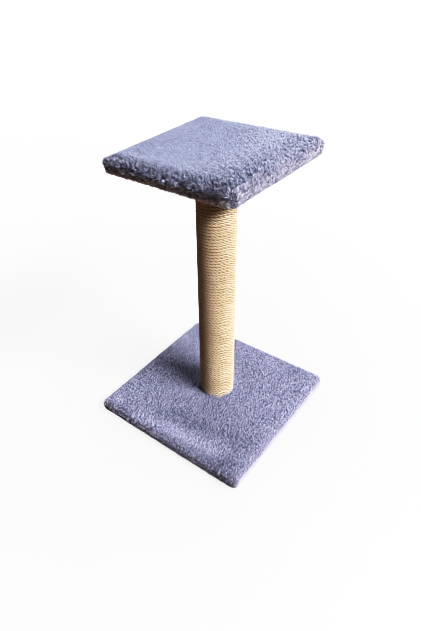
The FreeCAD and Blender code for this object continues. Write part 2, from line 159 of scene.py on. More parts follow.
# ----------------------------------------------------------------- materials
class Nodes:
    def __init__(self, name):
        self.m = bpy.data.materials.new(name)
        self.m.use_nodes = True
        self.t = self.m.node_tree
        self.t.nodes.clear()
        self.out = self.t.nodes.new("ShaderNodeOutputMaterial")
        self.p = self.t.nodes.new("ShaderNodeBsdfPrincipled")
        self.t.links.new(self.p.outputs[0], self.out.inputs["Surface"])

    def add(self, kind, **props):
        n = self.t.nodes.new("ShaderNode" + kind)
        for k, v in props.items():
            setattr(n, k, v)
        return n

    def link(self, a, b):
        self.t.links.new(a, b)

    def ramp(self, source, stops):
        n = self.add("ValToRGB")
        e = n.color_ramp.elements
        while len(e) < len(stops):
            e.new(0.5)
        for x, (pos, col) in zip(e, stops):
            x.position = pos
            x.color = (*col, 1.0)
        self.link(source, n.inputs["Fac"])
        return n.outputs["Color"]

    def mix(self, a, b, fac, blend="MIX"):
        n = self.add("Mix", data_type="RGBA", blend_type=blend)
        for socket, v in ((n.inputs["Factor"], fac), (n.inputs["A"], a), (n.inputs["B"], b)):
            if isinstance(v, (int, float)):
                socket.default_value = v
            elif isinstance(v, tuple):
                socket.default_value = (*v, 1.0)
            else:
                self.link(v, socket)
        return n.outputs["Result"]

    def math(self, op, a, b=None):
        n = self.add("Math", operation=op)
        for socket, v in zip(n.inputs, (a, b)):
            if v is None:
                continue
            if isinstance(v, (int, float)):
                socket.default_value = v
            else:
                self.link(v, socket)
        return n.outputs[0]

    def span(self, v, a, b, c, d):
        n = self.add("MapRange")
        self.link(v, n.inputs["Value"])
        for k, x in zip(("From Min", "From Max", "To Min", "To Max"), (a, b, c, d)):
            n.inputs[k].default_value = x
        return n.outputs["Result"]

    def noise(self, vector, scale, detail=3.0, rough=0.5):
        n = self.add("TexNoise")
        n.inputs["Scale"].default_value = scale
        n.inputs["Detail"].default_value = detail
        n.inputs["Roughness"].default_value = rough
        if vector is not None:
            self.link(vector, n.inputs["Vector"])
        return n

    def coords(self, kind="Object", scale=(1, 1, 1)):
        c = self.add("TexCoord")
        m = self.add("Mapping")
        m.inputs["Scale"].default_value = scale
        self.link(c.outputs[kind], m.inputs["Vector"])
        return m.outputs["Vector"]

    def bump(self, height, strength, distance):
        b = self.add("Bump")
        b.inputs["Strength"].default_value = strength
        b.inputs["Distance"].default_value = distance
        self.link(height, b.inputs["Height"])
        self.link(b.outputs["Normal"], self.p.inputs["Normal"])

    def set(self, **values):
        for k, v in values.items():
            self.p.inputs[k.replace("_", " ")].default_value = v


def plush_material(name, root, mid, tip):
    """Pile fibres. The pile attribute holds (root to tip, random per strand, tone of the nap with painted light and
    shade).
    """
    n = Nodes(name)
    a = n.add("Attribute", attribute_type="GEOMETRY", attribute_name="pile")
    s = n.add("SeparateXYZ")
    n.link(a.outputs["Vector"], s.inputs["Vector"])
    along, chance, tone = s.outputs
    # darker towards the root: painted shade down in the pile
    col = n.ramp(along, [(0.0, root), (0.60, mid), (1.0, tip)])
    # each strand a little warmer, cooler, lighter or darker than the next
    col = n.mix(col, (0.11, 0.11, 0.14), n.span(chance, 0.0, 0.35, 0.34, 0.0))
    col = n.mix(col, (0.46, 0.48, 0.60), n.span(chance, 0.72, 1.0, 0.0, 0.34))
    grain = n.noise(n.coords("Object"), 420.0, 2.0)
    col = n.mix(col, n.ramp(grain.outputs["Fac"], [(0.3, (0.82, 0.82, 0.84)), (0.7, (1.12, 1.12, 1.14))]), 0.6, "MULTIPLY")
    # the tone scales the strand's colour: random tone plus painted light and shade
    col = n.mix(col, n.ramp(n.span(tone, -0.5, 1.0, 0.0, 1.0), [(0.0, (0.14, 0.14, 0.16)), (0.3333, (0.50, 0.50, 0.54)), (0.6667, (1.0, 1.0, 1.0)), (1.0, (1.5, 1.5, 1.46))]), 1.0, "MULTIPLY")
    n.link(col, n.p.inputs["Base Color"])
    n.set(Roughness=0.72, Specular_IOR_Level=0.22, Sheen_Weight=0.35, Sheen_Roughness=0.45)
    n.p.inputs["Sheen Tint"].default_value = (0.78, 0.82, 1.0, 1.0)
    return n.m


def backing_material():
    """Knitted ground cloth that the pile is rooted in."""
    n = Nodes("plush_ground")
    v = n.coords("Object", (620, 620, 620))
    w = n.add("TexWave", wave_type="BANDS", bands_direction="X")
    w.inputs["Scale"].default_value = 1.0
    w.inputs["Distortion"].default_value = 1.5
    n.link(v, w.inputs["Vector"])
    w2 = n.add("TexWave", wave_type="BANDS", bands_direction="Y")
    w2.inputs["Scale"].default_value = 1.0
    w2.inputs["Distortion"].default_value = 1.5
    n.link(v, w2.inputs["Vector"])
    knit = n.math("MULTIPLY", w.outputs["Fac"], w2.outputs["Fac"])
    n.link(n.ramp(knit, [(0.0, (0.075, 0.075, 0.12)), (0.8, (0.17, 0.17, 0.25))]), n.p.inputs["Base Color"])
    n.set(Roughness=0.9, Specular_IOR_Level=0.1)
    n.bump(knit, 0.5, 0.0004)
    return n.m


def sisal_material(name, loose=False):
    """Twisted sisal yarn. The fibre map runs along the yarn in U and round it in V."""
    n = Nodes(name)
    uv = n.add("UVMap", uv_map="fibre")
    m = n.add("Mapping")
    m.inputs["Scale"].default_value = (1.0, 1.0, 1.0)
    n.link(uv.outputs["UV"], m.inputs["Vector"])
    stretch = n.add("Mapping")
    stretch.inputs["Scale"].default_value = (120.0, 22.0, 1.0)
    n.link(m.outputs["Vector"], stretch.inputs["Vector"])
    fibre = n.noise(stretch.outputs["Vector"], 1.0, 4.0, 0.6)
    patch = n.add("Mapping")
    patch.inputs["Scale"].default_value = (14.0, 0.6, 1.0)
    n.link(m.outputs["Vector"], patch.inputs["Vector"])
    mottle = n.noise(patch.outputs["Vector"], 1.0, 3.0, 0.55)
    col = n.ramp(
        fibre.outputs["Fac"],
        [(0.24, (0.420, 0.338, 0.252)), (0.40, (0.486, 0.405, 0.309)), (0.56, (0.522, 0.450, 0.353)), (0.74, (0.553, 0.490, 0.400))],
    )
    col = n.mix(col, n.ramp(mottle.outputs["Fac"], [(0.30, (0.76, 0.72, 0.66)), (0.55, (1.0, 1.0, 1.0)), (0.8, (1.10, 1.10, 1.06))]), 0.85, "MULTIPLY")
    if not loose:
        # dust and shade down in the grooves between the yarns and turns
        a = n.add("Attribute", attribute_type="GEOMETRY", attribute_name="yarn")
        g = n.add("SeparateXYZ")
        n.link(a.outputs["Vector"], g.inputs["Vector"])
        col = n.mix(col, n.ramp(g.outputs[0], [(0.0, (0.37, 0.318, 0.268)), (0.40, (0.90, 0.878, 0.85)), (1.0, (1.0, 1.0, 1.0))]), 1.0, "MULTIPLY")
        col = n.mix(col, n.ramp(g.outputs[1], [(0.0, (0.86, 0.80, 0.72)), (1.0, (1.06, 1.05, 1.02))]), 1.0, "MULTIPLY")
    n.link(col, n.p.inputs["Base Color"])
    n.set(Roughness=0.66, Specular_IOR_Level=0.16, Sheen_Weight=0.02, Sheen_Roughness=0.5)
    n.p.inputs["Sheen Tint"].default_value = (1.0, 0.9, 0.7, 1.0)
    if not loose:
        n.bump(fibre.outputs["Fac"], 0.75, 0.0005)
    return n.m


def board_material():
    """Raw particle board: pressed chips of mixed size and shade."""
    n = Nodes("particle_board")
    v = n.coords("Object")
    chips = n.add("TexVoronoi", feature="F1")
    chips.inputs["Scale"].default_value = 330.0
    chips.inputs["Randomness"].default_value = 1.0
    warp = n.noise(v, 190.0, 2.0)
    n.link(n.mix(v, warp.outputs["Color"], 0.02, "ADD"), chips.inputs["Vector"])
    s = n.add("SeparateColor")
    n.link(chips.outputs["Color"], s.inputs["Color"])
    col = n.ramp(s.outputs[0], [(0.0, (0.30, 0.18, 0.085)), (0.4, (0.46, 0.31, 0.16)), (0.75, (0.58, 0.42, 0.24)), (1.0, (0.68, 0.53, 0.33))])
    cloud = n.noise(v, 22.0, 4.0)
    col = n.mix(col, n.ramp(cloud.outputs["Fac"], [(0.3, (0.8, 0.78, 0.75)), (0.7, (1.08, 1.08, 1.08))]), 0.8, "MULTIPLY")
    n.link(col, n.p.inputs["Base Color"])
    n.set(Roughness=0.78, Specular_IOR_Level=0.25)
    n.bump(chips.outputs["Distance"], 0.25, 0.0004)
    return n.m


def plug_material():
    """Turned softwood with its grain along Z."""
    n = Nodes("plug_wood")
    v = n.coords("Object", (1, 1, 0.12))
    rings = n.add("TexWave", wave_type="RINGS", rings_direction="Z")
    rings.inputs["Scale"].default_value = 70.0
    rings.inputs["Distortion"].default_value = 2.2
    rings.inputs["Detail"].default_value = 2.0
    n.link(v, rings.inputs["Vector"])
    fine = n.noise(v, 480.0, 3.0)
    col = n.ramp(rings.outputs["Fac"], [(0.0, (0.62, 0.43, 0.22)), (0.6, (0.55, 0.36, 0.17)), (1.0, (0.36, 0.20, 0.085))])
    col = n.mix(col, n.ramp(fine.outputs["Fac"], [(0.3, (0.85, 0.84, 0.82)), (0.7, (1.08, 1.08, 1.08))]), 0.8, "MULTIPLY")
    n.link(col, n.p.inputs["Base Color"])
    n.set(Roughness=0.6, Specular_IOR_Level=0.3)
    n.bump(fine.outputs["Fac"], 0.2, 0.0003)
    return n.m


def card_material():
    """Spiral-wound grey-brown cardboard with faint seams."""
    n = Nodes("tube_card")
    v = n.coords("Object")
    s = n.add("SeparateXYZ")
    n.link(v, s.inputs["Vector"])
    fibres = n.noise(n.coords("Object", (1, 1, 0.3)), 600.0, 3.0)
    flecks = n.noise(v, 130.0, 4.0, 0.7)
    seam = n.add("TexWave", wave_type="BANDS", bands_direction="Z")
    seam.inputs["Scale"].default_value = 2.2
    seam.inputs["Distortion"].default_value = 0.6
    n.link(v, seam.inputs["Vector"])
    col = n.ramp(flecks.outputs["Fac"], [(0.3, (0.27, 0.19, 0.115)), (0.7, (0.40, 0.29, 0.18))])
    col = n.mix(col, n.ramp(seam.outputs["Fac"], [(0.0, (0.75, 0.74, 0.72)), (0.06, (1, 1, 1))]), 0.8, "MULTIPLY")
    n.link(col, n.p.inputs["Base Color"])
    n.set(Roughness=0.85, Specular_IOR_Level=0.2)
    n.bump(fibres.outputs["Fac"], 0.2, 0.0003)
    return n.m


def steel_material(name, colour, rough):
    """Bright zinc plate with a faint drawn grain and duller patches."""
    n = Nodes(name)
    v = n.coords("Object")
    dull = n.noise(v, 160.0, 4.0)
    grain = n.noise(n.coords("Object", (1, 1, 0.15)), 900.0, 2.0)
    dark = tuple(0.72 * c for c in colour)
    n.link(n.ramp(dull.outputs["Fac"], [(0.3, dark), (0.65, colour)]), n.p.inputs["Base Color"])
    n.link(n.span(dull.outputs["Fac"], 0.3, 0.7, rough + 0.14, rough - 0.06), n.p.inputs["Roughness"])
    n.set(Metallic=1.0)
    n.bump(grain.outputs["Fac"], 0.12, 0.0002)
    return n.m


def foam_material():
    n = Nodes("foam")
    v = n.coords("Object")
    cells = n.add("TexVoronoi", feature="F1")
    cells.inputs["Scale"].default_value = 900.0
    n.link(v, cells.inputs["Vector"])
    n.link(n.ramp(cells.outputs["Distance"], [(0.0, (0.50, 0.47, 0.38)), (0.5, (0.80, 0.77, 0.66))]), n.p.inputs["Base Color"])
    n.set(Roughness=0.95, Specular_IOR_Level=0.1)
    n.bump(cells.outputs["Distance"], 0.5, 0.0006)
    return n.m


# One plush in lit and shaded copies: plush_top a little paler than plush_base; the _side and _mix copies paler and
# pinker, painted light of the key on sides and hems; plush_top_dark for the shaded edges and sides; plush_top_low much
# paler, painted light on the front face's shaded lower rows
PLUSH_BASE = plush_material("plush_base", (0.050, 0.051, 0.080), (0.212, 0.219, 0.334), (0.370, 0.378, 0.494))
PLUSH_BASE_SIDE = plush_material("plush_base_side", (0.045, 0.042, 0.062), (0.215, 0.210, 0.310), (0.420, 0.405, 0.500))
PLUSH_TOP = plush_material("plush_top", (0.038, 0.040, 0.066), (0.221, 0.243, 0.359), (0.396, 0.428, 0.545))
PLUSH_TOP_DARK = plush_material("plush_top_dark", (0.034, 0.033, 0.052), (0.215, 0.226, 0.338), (0.430, 0.446, 0.565))
PLUSH_TOP_SIDE = plush_material("plush_top_side", (0.034, 0.032, 0.046), (0.224, 0.216, 0.290), (0.415, 0.398, 0.465))
PLUSH_TOP_MIX = plush_material("plush_top_mix", (0.034, 0.033, 0.050), (0.230, 0.234, 0.326), (0.420, 0.414, 0.505))
PLUSH_TOP_LOW = plush_material("plush_top_low", (0.290, 0.272, 0.295), (0.690, 0.660, 0.720), (0.850, 0.820, 0.880))
GROUND = backing_material()
SISAL = sisal_material("sisal")
SISAL_LOOSE = sisal_material("sisal_loose", True)
ZINC = steel_material("zinc", (0.66, 0.67, 0.69), 0.34)
WIRE = steel_material("staple_wire", (0.70, 0.70, 0.70), 0.28)

for material, names in (
    (board_material(), ("base_board", "top_board")),
    (plug_material(), ("lower_plug", "upper_plug")),
    (card_material(), ("post_tube",)),
    (ZINC, ("base_bolt", "base_washer", "lower_tee_nut", "upper_tee_nut", "top_bolt", "top_washer", "lower_plug_nails", "upper_plug_nails")),
    (WIRE, ("base_cover_staples", "top_cover_staples", "rope_end_staples")),
):
    for node in names:
        slots = NODES[node].material_slots
        for s in slots:
            s.material = material


# --------------------------------------------------------- rounded square plan
def outline(half, radius, p):
    """Points of a rounded square at running lengths p from the middle of its -Y side, counterclockwise: places, outward normals, tangents."""
    straight = 2 * (half - radius)
    arc = radius * math.pi / 2
    total = 4 * (straight + arc)
    p = np.mod(np.asarray(p, float) + straight / 2, total)
    side = np.floor(p / (straight + arc)).astype(int) % 4
    r = p - side * (straight + arc)
    on_line = r < straight
    a = np.where(on_line, 0.0, (r - straight) / radius) - math.pi / 2
    x = np.where(on_line, -straight / 2 + r, straight / 2 + radius * np.cos(a))
    y = np.where(on_line, -half, -(half - radius) + radius * np.sin(a))
    nx, ny = np.where(on_line, 0.0, np.cos(a)), np.where(on_line, -1.0, np.sin(a))
    turn = side * math.pi / 2
    c, s = np.cos(turn), np.sin(turn)
    pos = np.stack([c * x - s * y, s * x + c * y], -1)
    nor = np.stack([c * nx - s * ny, s * nx + c * ny], -1)
    tan = np.stack([-nor[..., 1], nor[..., 0]], -1)
    return pos, nor, tan


def perimeter(half, radius):
    return 8 * (half - radius) + 2 * math.pi * radius


def depth_inside(x, y, half, radius):
    """How far a plan point is inside a rounded square, below zero outside."""
    qx, qy = np.abs(x) - (half - radius), np.abs(y) - (half - radius)
    return radius - np.hypot(np.maximum(qx, 0), np.maximum(qy, 0)) - np.minimum(np.maximum(qx, qy), 0)


def inside(x, y, half, radius):
    return depth_inside(x, y, half, radius) > 0


class Cover:
    """One plush-covered square: the ground cloth's surface, in its own plan frame.

    The cloth is pulled down at the sides, so its top falls by crown over the last reach mm before the edge's rounding.
    """

    def __init__(self, centre, yaw, half, radius, z_top, edge, crown, reach, z_low):
        self.centre, self.yaw = centre, yaw
        self.half, self.radius, self.z_top, self.edge = half, radius, z_top, edge
        self.crown, self.reach = crown, reach
        self.z_low = z_low
        self.z_edge = z_top - crown
        c, s = math.cos(yaw), math.sin(yaw)
        self.rot = np.array([[c, -s], [s, c]])

    def height(self, x, y):
        d = depth_inside(x, y, self.half - self.edge, max(self.radius - self.edge, 0.3))
        t = np.clip(1 - d / self.reach, 0, 1)
        return self.z_top - self.crown * t * t

    def normal(self, x, y):
        k = 0.5
        gx = (self.height(x + k, y) - self.height(x - k, y)) / (2 * k)
        gy = (self.height(x, y + k) - self.height(x, y - k)) / (2 * k)
        return unit(np.stack([-gx, -gy, np.ones_like(gx)], -1))

    def world(self, v):
        """Own plan frame to the part's frame: places."""
        out = np.array(v, float)
        out[..., :2] = out[..., :2] @ self.rot.T + self.centre
        return out


BASE = Cover(np.array([0.0, 0.0]), 0.0, 170.9, 8.9, Z_BOARD_TOP + 0.9, 3.2, 0.0, 10.0, 1.4)
TOP = Cover(TOP_C, YAW, 122.4, 7.9, Z_POST_TOP + BOARD + 4.0 + 0.9, 4.0, 1.9, 26.0, Z_POST_TOP - 0.4)


# ---------------------------------------------------------------- pile strands
def clumps(u, v, su, sv, seed):
    """The tuft that each root belongs to: its place, and its own random numbers."""
    i, j = np.floor(u / su).astype(int), np.floor(v / sv).astype(int)
    best = np.full(u.shape, 1e9)
    cu, cv = np.zeros(u.shape), np.zeros(u.shape)
    ci, cj = np.zeros(u.shape, int), np.zeros(u.shape, int)
    ju, jv = table_of(seed + 1), table_of(seed + 2)
    for di in (-1, 0, 1):
        for dj in (-1, 0, 1):
            a, b = i + di, j + dj
            pu = (a + 0.15 + 0.7 * ju[np.mod(a, 256), np.mod(b, 256)]) * su
            pv = (b + 0.15 + 0.7 * jv[np.mod(a, 256), np.mod(b, 256)]) * sv
            d = ((u - pu) / su) ** 2 + ((v - pv) / sv) ** 2
            near = d < best
            best = np.where(near, d, best)
            cu, cv = np.where(near, pu, cu), np.where(near, pv, cv)
            ci, cj = np.where(near, a, ci), np.where(near, b, cj)
    return cu, cv, [hash2(ci, cj, seed + k) for k in (3, 4, 5, 6, 7)]


RING_T = np.array([0.0, 0.36, 0.70, 1.0])
SIDES = 3
STRAND_FACES = np.array(
    [(r * 3 + a, r * 3 + (a + 1) % 3, r * 3 + 3 + (a + 1) % 3) for r in (0, 1) for a in range(3)]
    + [(r * 3 + a, r * 3 + 3 + (a + 1) % 3, r * 3 + 3 + a) for r in (0, 1) for a in range(3)]
    + [(6 + a, 6 + (a + 1) % 3, 9) for a in range(3)]
    + [(0, 2, 1)],
    np.int32,
)


def pile(name, material, cover, chart, nap, length, lean, width, spread, tuft, rng, tone, keep_off=None, lowest=None, vary=0.34, pits=None):
    """Grows closed tapered strands and returns the pieces, each under the triangle limit.

    chart: dict of root places, normals, two tangents and two running coordinates.
    nap: (n, 2) pile direction in the chart. length, lean (radians off the normal) and spread
    (radians of direction scatter) are arrays. tuft: (su, sv, angle, strength array, seed, share of the pull that
    acts along the nap). vary: how much lighter or darker one tuft is than the next. pits: (size, depth array, stretch) of
    the small hollows where the pile is pressed down, and how much longer they are along the nap.
    """
    root, n, e1, e2, c1, c2 = (chart[k] for k in ("root", "n", "e1", "e2", "c1", "c2"))
    count = len(root)
    su, sv, angle, strength, seed, along_nap = tuft
    ca, sa = math.cos(angle), math.sin(angle)
    u, v = ca * c1 + sa * c2, -sa * c1 + ca * c2
    cu, cv, own = clumps(u, v, su, sv, seed)
    du, dv = (cu - u) * along_nap, cv - v
    pull = (ca * du - sa * dv)[:, None] * e1 + (sa * du + ca * dv)[:, None] * e2
    strength = strength * (0.35 + 1.15 * own[4] ** 2)
    t = unit(nap[:, :1] * e1 + nap[:, 1:] * e2)
    lean = lean * np.clip(np.linalg.norm(nap, axis=1), 0.3, 1.0)
    side = np.cross(n, t)
    swing = (own[0] - 0.5) * 2.0 * spread + rng.normal(0, 0.10, count)
    d = t * np.cos(swing)[:, None] + side * np.sin(swing)[:, None]
    tilt = np.clip(lean + (own[1] - 0.5) * 1.2 * spread + rng.normal(0, 0.07, count), 0.05, 1.45)
    a0, a1 = np.clip(tilt - 0.45, 0.0, 1.4), np.clip(tilt + 0.32, 0.1, 1.55)
    first = n * np.cos(a0)[:, None] + d * np.sin(a0)[:, None]
    last = n * np.cos(a1)[:, None] + d * np.sin(a1)[:, None]
    ll = length * (1 + 0.9 * spread * (own[2] - 0.5)) * rng.uniform(0.88, 1.10, count)
    if pits is not None:
        pit = smooth(0.22, 0.60, noise2(u / pits[2], v, pits[0], seed + 8)) * pits[1]
        ll = ll * (1 - pit)
        # the hollows are also painted darker: painted shade in them
        tone = tone - 0.35 * pit
    pts = []
    for s in RING_T:
        q = root + ll[:, None] * (first * (s - s * s / 2) + last * (s * s / 2))
        q = q + pull * (strength * s**1.4)[:, None]
        pts.append(q)
    pts[0] = pts[0] - n * 0.25
    pts = np.stack(pts, 1)
    if keep_off is not None:
        centre, radius, z_max = keep_off
        rel = pts[..., :2] - centre
        dist = np.maximum(np.linalg.norm(rel, axis=-1, keepdims=True), 1e-6)
        pushed = centre + rel / dist * np.maximum(dist, radius)
        pts[..., :2] = np.where(pts[..., 2:3] < z_max, pushed, pts[..., :2])
    if lowest is not None:
        # the pile's lowest tips are pressed up by what they would hang below
        pts[..., 2] = np.maximum(pts[..., 2], lowest + 0.15 * rng.random((count, 1)))
    pts = cover.world(pts) if cover is not None else pts
    grow = np.stack([pts[:, 1] - pts[:, 0], pts[:, 2] - pts[:, 0], pts[:, 3] - pts[:, 1]], 1)
    grow = unit(grow)
    ref = unit(rng.normal(0, 1, (count, 1, 3)))
    b1 = unit(np.cross(grow, ref))
    b2 = np.cross(grow, b1)
    w = (width * rng.uniform(0.8, 1.2, count))[:, None] * np.array([0.80, 1.0, 0.72])[None, :] / 2
    corners = []
    for k in range(3):
        c, s = math.cos(2 * math.pi * k / 3), math.sin(2 * math.pi * k / 3)
        corners.append(pts[:, :3] + w[..., None] * (c * b1 + s * b2))
    ring = np.stack(corners, 2).reshape(count, 9, 3)
    verts = np.concatenate([ring, pts[:, 3:4]], 1)
    attr = np.zeros((count, 10, 3), np.float32)
    attr[:, :, 0] = np.array([RING_T[0]] * 3 + [RING_T[1]] * 3 + [RING_T[2]] * 3 + [1.0])
    attr[:, :, 1] = np.clip(0.7 * rng.random(count) + 0.3 * own[3], 0, 1)[:, None]
    attr[:, :, 2] = np.clip(tone + vary * (own[3] - 0.5), -0.5, 1)[:, None]
    order = np.lexsort((c1, np.floor(c2 / 40)))
    most = 190000 // len(STRAND_FACES)
    pieces = []
    blocks = np.array_split(order, max(1, math.ceil(count / most)))
    for b, idx in enumerate(blocks):
        m = len(idx)
        ob = mesh_object(
            "%s_%d" % (name, b + 1) if len(blocks) > 1 else name,
            verts[idx].reshape(-1, 3),
            (STRAND_FACES[None] + (np.arange(m) * 10)[:, None, None]).reshape(-1, 3),
            material,
        )
        vector_attribute(ob, "pile", attr[idx].reshape(-1, 3))
        # a cell of its own for each strand on the map that its colours are baked to
        g = math.ceil(math.sqrt(m))
        cell = np.stack([np.arange(m) % g, np.arange(m) // g], -1) / g
        col = np.array([0.06, 0.36, 0.68, 0.94])
        face_uv = []
        for f in STRAND_FACES:
            for vi in f:
                r = min(vi // 3, 3) if vi < 9 else 3
                lane = {0: 0.14, 1: 0.5, 2: 0.86}[vi % 3] if vi < 9 else 0.5
                face_uv.append((col[r], lane))
        face_uv = np.array(face_uv)
        # the last side wraps round: give its faces the width of the strip
        uv = cell[:, None, :] + face_uv[None] / g
        uv_map(ob, "OFBake", uv.reshape(-1, 2))
        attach(ob, "root")
        pieces.append(ob)
    return pieces


def grid_roots(half, step, rng):
    k = np.arange(-half, half, step)
    x, y = np.meshgrid(k, k)
    x = x.ravel() + rng.uniform(0, step, x.size)
    y = y.ravel() + rng.uniform(0, step, y.size)
    return x, y


def top_chart(cover, step, rng, skip=None):
    x, y = grid_roots(cover.half, step, rng)
    ok = inside(x, y, cover.half - cover.edge * 0.95, max(cover.radius - cover.edge * 0.95, 0.3))
    if skip is not None:
        centre, radius = skip
        ok &= np.hypot(x - centre[0], y - centre[1]) > radius
    x, y = x[ok], y[ok]
    n = cover.normal(x, y)
    o, z = np.ones_like(x), np.zeros_like(x)
    e1 = np.stack([o, z, z], -1)
    e1 = unit(e1 - n * (e1 * n).sum(-1, keepdims=True))
    return dict(root=np.stack([x, y, cover.height(x, y)], -1), n=n, e1=e1, e2=np.cross(n, e1), c1=x, c2=y)


def side_chart(cover, step, rng, dense=1.0):
    """Edge rounding and side. dense packs more roots on the rounding, where the pile fans out."""
    total = perimeter(cover.half, cover.radius)
    arc = cover.edge * math.pi / 2
    drop = arc + (cover.z_edge - cover.edge - cover.z_low)
    grids = []
    for lo, hi, st in ((0.0, arc, step / math.sqrt(dense)), (arc, drop, step)):
        p, q = np.meshgrid(np.arange(0, total, st), np.arange(lo, hi, st))
        p = p.ravel() + rng.uniform(0, st, p.size)
        q = q.ravel() + rng.uniform(0, st, q.size)
        ok = q < hi
        grids.append((p[ok], q[ok]))
    p, q = np.concatenate([g[0] for g in grids]), np.concatenate([g[1] for g in grids])
    pos, nor, tan = outline(cover.half, cover.radius, p)
    a = np.clip(q / cover.edge, 0, math.pi / 2)
    plan = pos - nor * (cover.edge * (1 - np.sin(a)))[:, None]
    z = np.where(q < arc, cover.z_edge - cover.edge * (1 - np.cos(a)), cover.z_edge - cover.edge - (q - arc))
    zero = np.zeros_like(p)
    return dict(
        root=np.concatenate([plan, z[:, None]], 1),
        n=np.concatenate([nor * np.sin(a)[:, None], np.cos(a)[:, None]], 1),
        e1=np.concatenate([tan, zero[:, None]], 1),
        e2=np.concatenate([nor * np.cos(a)[:, None], -np.sin(a)[:, None]], 1),
        c1=p,
        c2=q,
        nor=nor,
        tan=tan,
        plan=pos,
        drop=drop,
    )


def part_of(chart, mask):
    return {k: v[mask] if isinstance(v, np.ndarray) else v for k, v in chart.items()}


def under_chart(cover, step, rng, wide):
    x, y = grid_roots(cover.half, step, rng)
    ok = inside(x, y, cover.half - 4.0, cover.radius - 4.0) & ~inside(x, y, cover.half - wide, 4.0)
    x, y = x[ok], y[ok]
    o, z = np.ones_like(x), np.zeros_like(x)
    return dict(
        root=np.stack([x, y, cover.z_low * o], -1),
        n=np.stack([z, z, -o], -1),
        e1=np.stack([o, z, z], -1),
        e2=np.stack([z, o, z], -1),
        c1=x,
        c2=y,
    )


def brush(direction, chart, cover):
    """The nap of one cloth: it keeps its way where the cloth folds over the edges, and droops a little on the sides."""
    g = np.asarray(direction, float)
    if "nor" not in chart:
        return np.broadcast_to(g, (len(chart["root"]), 2)).copy()
    arc = cover.edge * math.pi / 2
    droop = 0.22 * smooth(0.5 * arc, 2.0 * arc, chart["c2"])
    return np.stack([chart["tan"] @ g, chart["nor"] @ g + droop], -1)


def ground_cloth(name, cover, hem, hole, ring_n=216):
    """The plush's ground cloth as one sheet: hem, sides, top, and the bolt's hole where the post stands on it."""
    total = perimeter(cover.half, cover.radius)
    p = (np.arange(ring_n) + 0.5) * total / ring_n
    pos, nor, tan = outline(cover.half, cover.radius, p)
    rows = []
    zu = cover.z_low

    def ring(inset, z):
        # a smaller outline, with the same points round it
        h, r = cover.half - inset, max(cover.radius - inset, 2.0)
        q, _, _ = outline(h, r, p * perimeter(h, r) / total)
        return np.concatenate([q, np.full((ring_n, 1), z)], 1)

    for inset in (hem, hem * 0.66, hem * 0.33, 3.0):
        rows.append(ring(inset, zu))
    low = 1.3
    for a in np.radians((-60, -20)):
        rows.append(ring(low * (1 - math.cos(a)), zu + low + low * math.sin(a)))
    for z in np.linspace(zu + low, cover.z_edge - cover.edge, 5):
        rows.append(ring(0.0, z))
    for a in np.radians((22, 45, 68, 90)):
        rows.append(ring(cover.edge * (1 - math.cos(a)), cover.z_edge - cover.edge * (1 - math.sin(a))))
    start = rows[-1].copy()
    if hole is None:
        goal_c, goal_r = np.zeros(2), 0.6
    else:
        goal_c, goal_r = hole
    ang = np.arctan2(start[:, 1] - goal_c[1], start[:, 0] - goal_c[0])
    goal = np.stack([goal_c[0] + goal_r * np.cos(ang), goal_c[1] + goal_r * np.sin(ang)], -1)
    for s in (0.03, 0.06, 0.10, 0.15, 0.22, 0.32, 0.45, 0.60, 0.75, 0.88, 1.0):
        r = start.copy()
        r[:, :2] = start[:, :2] * (1 - s) + goal * s
        r[:, 2] = cover.height(r[:, 0], r[:, 1])
        rows.append(r)
    verts = cover.world(np.concatenate(rows))
    faces = []
    for k in range(len(rows) - 1):
        a = k * ring_n + np.arange(ring_n)
        b = k * ring_n + (np.arange(ring_n) + 1) % ring_n
        faces.append(np.stack([a, b, b + ring_n, a + ring_n], -1))
    ob = mesh_object(name, verts, np.concatenate(faces), GROUND)
    thick = ob.modifiers.new("thick", "SOLIDIFY")
    thick.thickness = 0.0007
    thick.offset = -1.0
    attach(ob, "root")
    return ob


# ------------------------------------------------------------------ base plush
# each cloth was cut from the roll its own way round
NAP_BASE = unit(np.array([-0.08, 1.00]))
NAP_TOP = unit(np.array([-0.95, 0.30]))
BASE_ANGLE = math.atan2(NAP_BASE[1], NAP_BASE[0])
TOP_ANGLE = math.atan2(NAP_TOP[1], NAP_TOP[0])


def turned(v, angle):
    c, s = np.cos(angle), np.sin(angle)
    return np.stack([c * v[:, 0] - s * v[:, 1], s * v[:, 0] + c * v[:, 1]], -1)


